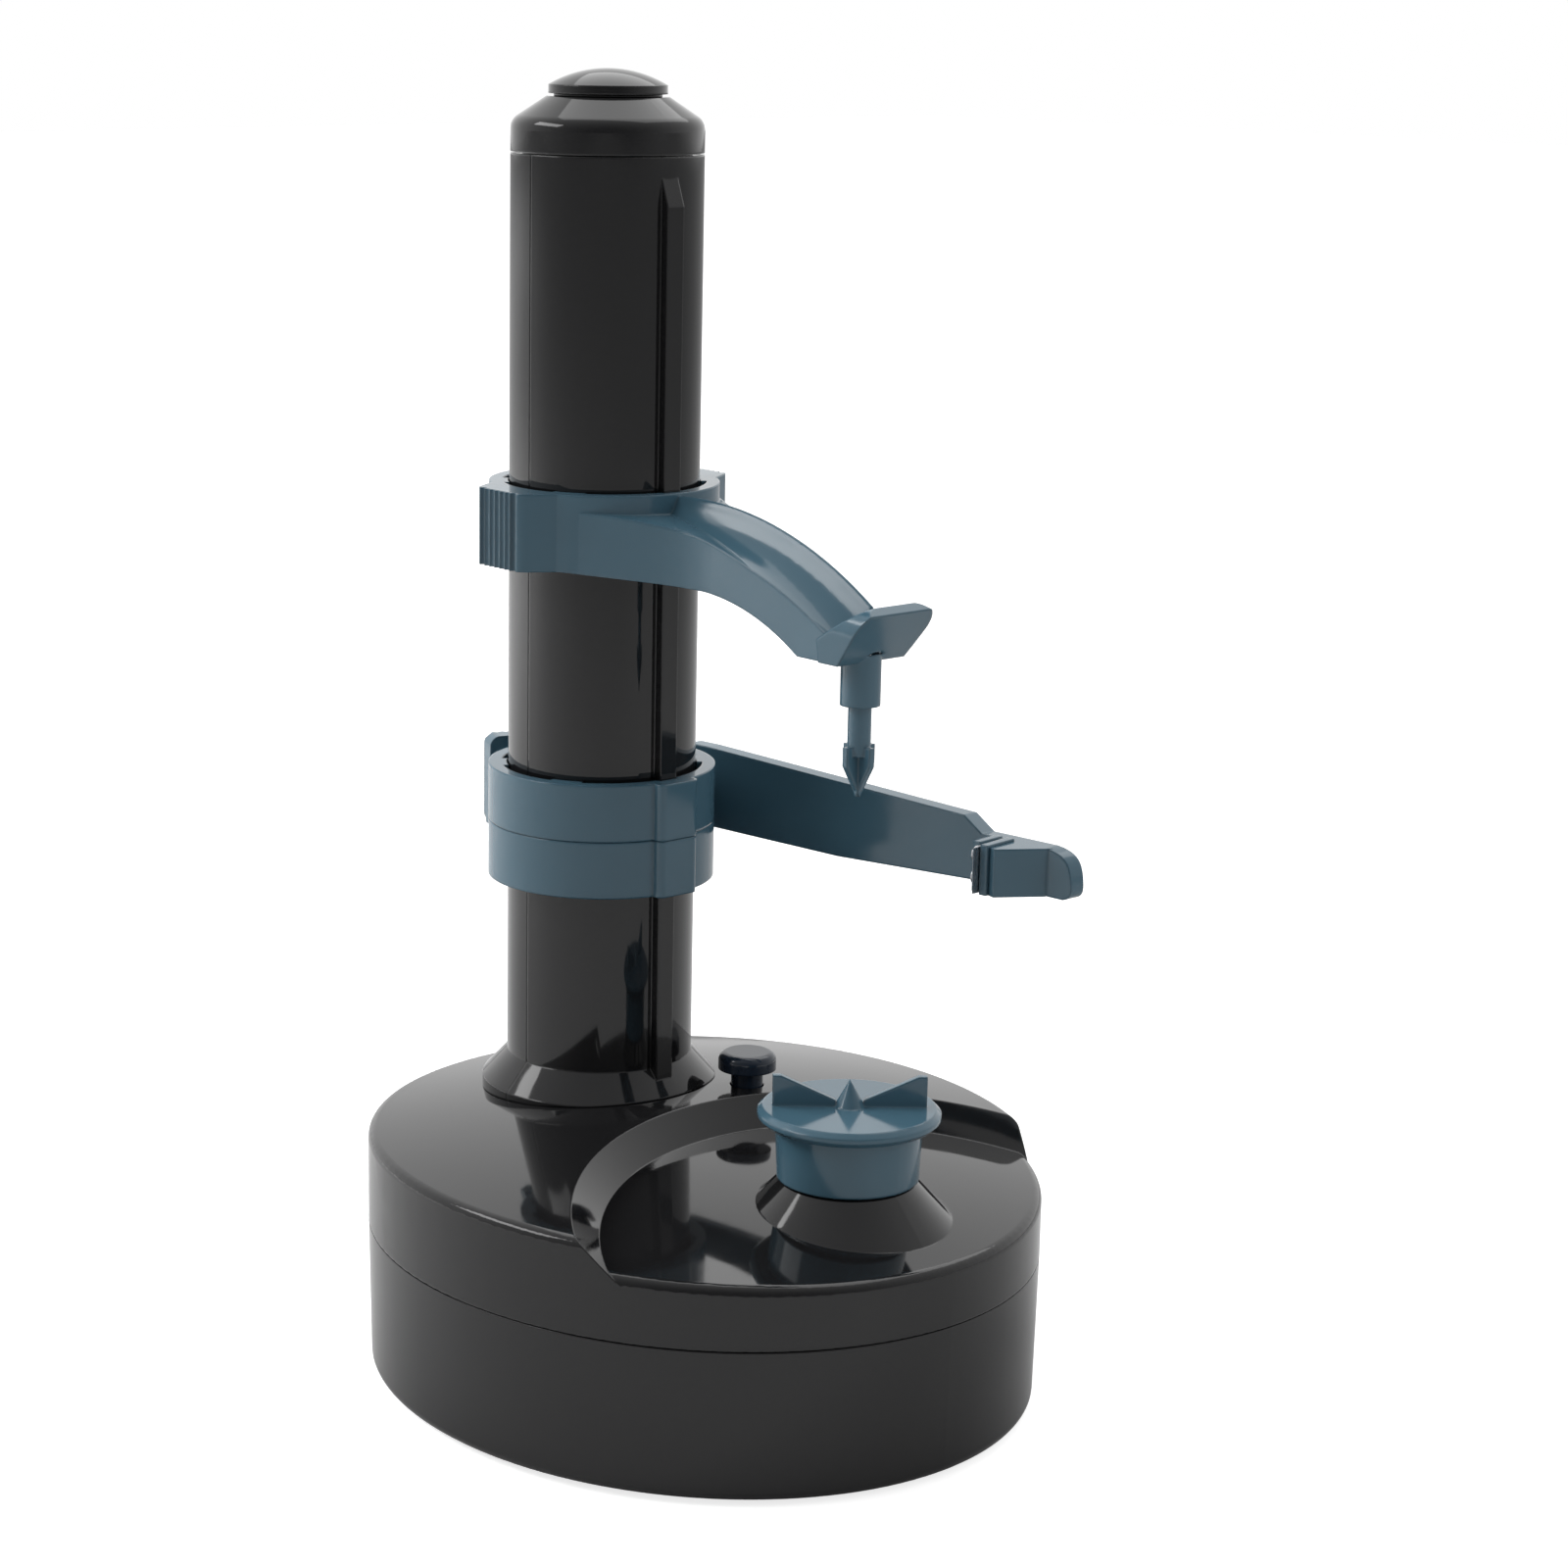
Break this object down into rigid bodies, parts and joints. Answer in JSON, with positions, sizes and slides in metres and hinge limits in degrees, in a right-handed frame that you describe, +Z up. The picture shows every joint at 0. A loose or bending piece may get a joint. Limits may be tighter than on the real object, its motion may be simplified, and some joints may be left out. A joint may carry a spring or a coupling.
{
  "type": "electric fruit peeler",
  "caption": "Table-top electric fruit peeler: domed oval base with a turning fruit cup, tall column with a sliding arched top holder and a sliding sprung peeling arm.",
  "frame": {"origin": "on the table plane, under the middle of the whole footprint", "axes": "+Z up, +X from the column to the fruit spindle, +Y to the side the peeling arm passes on"},
  "size_m": [0.1612, 0.1452, 0.2914],
  "materials": {
    "black_plastic": "high gloss moulded",
    "teal_plastic": "satin gloss moulded",
    "navy_plastic": "gloss moulded",
    "blade_steel": "ground",
    "plated_steel": "zinc plated",
    "gear_nylon": "natural nylon",
    "pinion_brass": "machined",
    "inner_plastic": "matt moulded",
    "cell_wrap": "printed sleeve",
    "foot_rubber": "matt"
  },
  "bodies": {
    "base": {"base_upper_shell": "black_plastic", "base_lower_shell": "black_plastic", "battery_door": "black_plastic", "battery_cells": "cell_wrap", "battery_contacts": "plated_steel", "rubber_feet": "foot_rubber", "base_screws": "plated_steel", "tower_front_shell": "black_plastic", "tower_rear_shell": "black_plastic", "tower_cap": "black_plastic", "cap_finial": "black_plastic", "tower_clamp_plate": "plated_steel", "tower_screws": "plated_steel", "gear_plate": "inner_plastic", "gear_plate_screws": "plated_steel", "spindle_bush": "pinion_brass", "idler_axle": "plated_steel", "compound_axle": "plated_steel", "motor": "plated_steel", "screw_bush": "pinion_brass", "screw_top_bush": "inner_plastic", "start_switch": "inner_plastic", "limit_switch": "inner_plastic"},
    "spindle": {"spindle_shaft": "plated_steel", "spindle_gear": "gear_nylon", "fruit_holder": "teal_plastic"},
    "idler": {"idler_gear": "gear_nylon"},
    "compound": {"compound_gear": "gear_nylon"},
    "motor_drive": {"motor_pinion": "pinion_brass"},
    "screw_drive": {"lead_screw": "gear_nylon", "screw_gear": "gear_nylon"},
    "carriage": {"carriage_upper_ring": "teal_plastic", "carriage_lower_ring": "teal_plastic", "half_nut": "gear_nylon", "arm_pivot_pin": "plated_steel"},
    "peeling_lever": {"peeling_arm": "teal_plastic", "blade_clip": "teal_plastic", "peeling_blade": "blade_steel", "blade_rivets": "plated_steel", "arm_torsion_spring": "plated_steel"},
    "top_holder": {"top_holder_arm": "teal_plastic"},
    "top_point": {"top_spike": "teal_plastic", "spike_retainer": "plated_steel"},
    "button": {"start_button": "navy_plastic", "button_retainer": "plated_steel"}
  },
  "joints": [
    {"name": "spindle_spin", "type": "hinge", "parent": "base", "child": "spindle", "pos_m": [0.048, 0, 0.035], "axis": [0, 0, 1], "continuous": true},
    {"name": "idler_spin", "type": "hinge", "parent": "base", "child": "idler", "pos_m": [0.0045, 0, 0.035], "axis": [0, 0, 1], "continuous": true},
    {"name": "compound_spin", "type": "hinge", "parent": "base", "child": "compound", "pos_m": [0.01162, -0.02656, 0.035], "axis": [0, 0, 1], "continuous": true},
    {"name": "motor_spin", "type": "hinge", "parent": "base", "child": "motor_drive", "pos_m": [0.02412, -0.04821, 0.035], "axis": [0, 0, 1], "continuous": true},
    {"name": "screw_spin", "type": "hinge", "parent": "base", "child": "screw_drive", "pos_m": [-0.037, 0, 0.035], "axis": [0, 0, 1], "continuous": true},
    {"name": "carriage_slide", "type": "slide", "parent": "base", "child": "carriage", "axis": [0, 0, 1], "range_m": [-0.034, 0.02]},
    {"name": "arm_swing", "type": "hinge", "parent": "carriage", "child": "peeling_lever", "pos_m": [-0.061, 0.024, 0.1225], "axis": [0, 0, 1], "range_deg": [-8, 10], "stiffness_Nm_per_rad": 0.12},
    {"name": "top_holder_slide", "type": "slide", "parent": "base", "child": "top_holder", "axis": [0, 0, 1], "range_m": [-0.018, 0.066]},
    {"name": "top_spike_spin", "type": "hinge", "parent": "top_holder", "child": "top_point", "pos_m": [0.048, 0, 0.167], "axis": [0, 0, 1], "continuous": true},
    {"name": "button_press", "type": "slide", "parent": "base", "child": "button", "axis": [0, 0, 1], "range_m": [-0.0025, 0], "stiffness_N_per_m": 500}
  ],
  "couplings": [
    {"joint": "idler_spin", "follows": "spindle_spin", "ratio": -1.0233},
    {"joint": "compound_spin", "follows": "spindle_spin", "ratio": 3.6667},
    {"joint": "motor_spin", "follows": "spindle_spin", "ratio": -14.667},
    {"joint": "screw_spin", "follows": "spindle_spin", "ratio": 1.1}
  ]
}
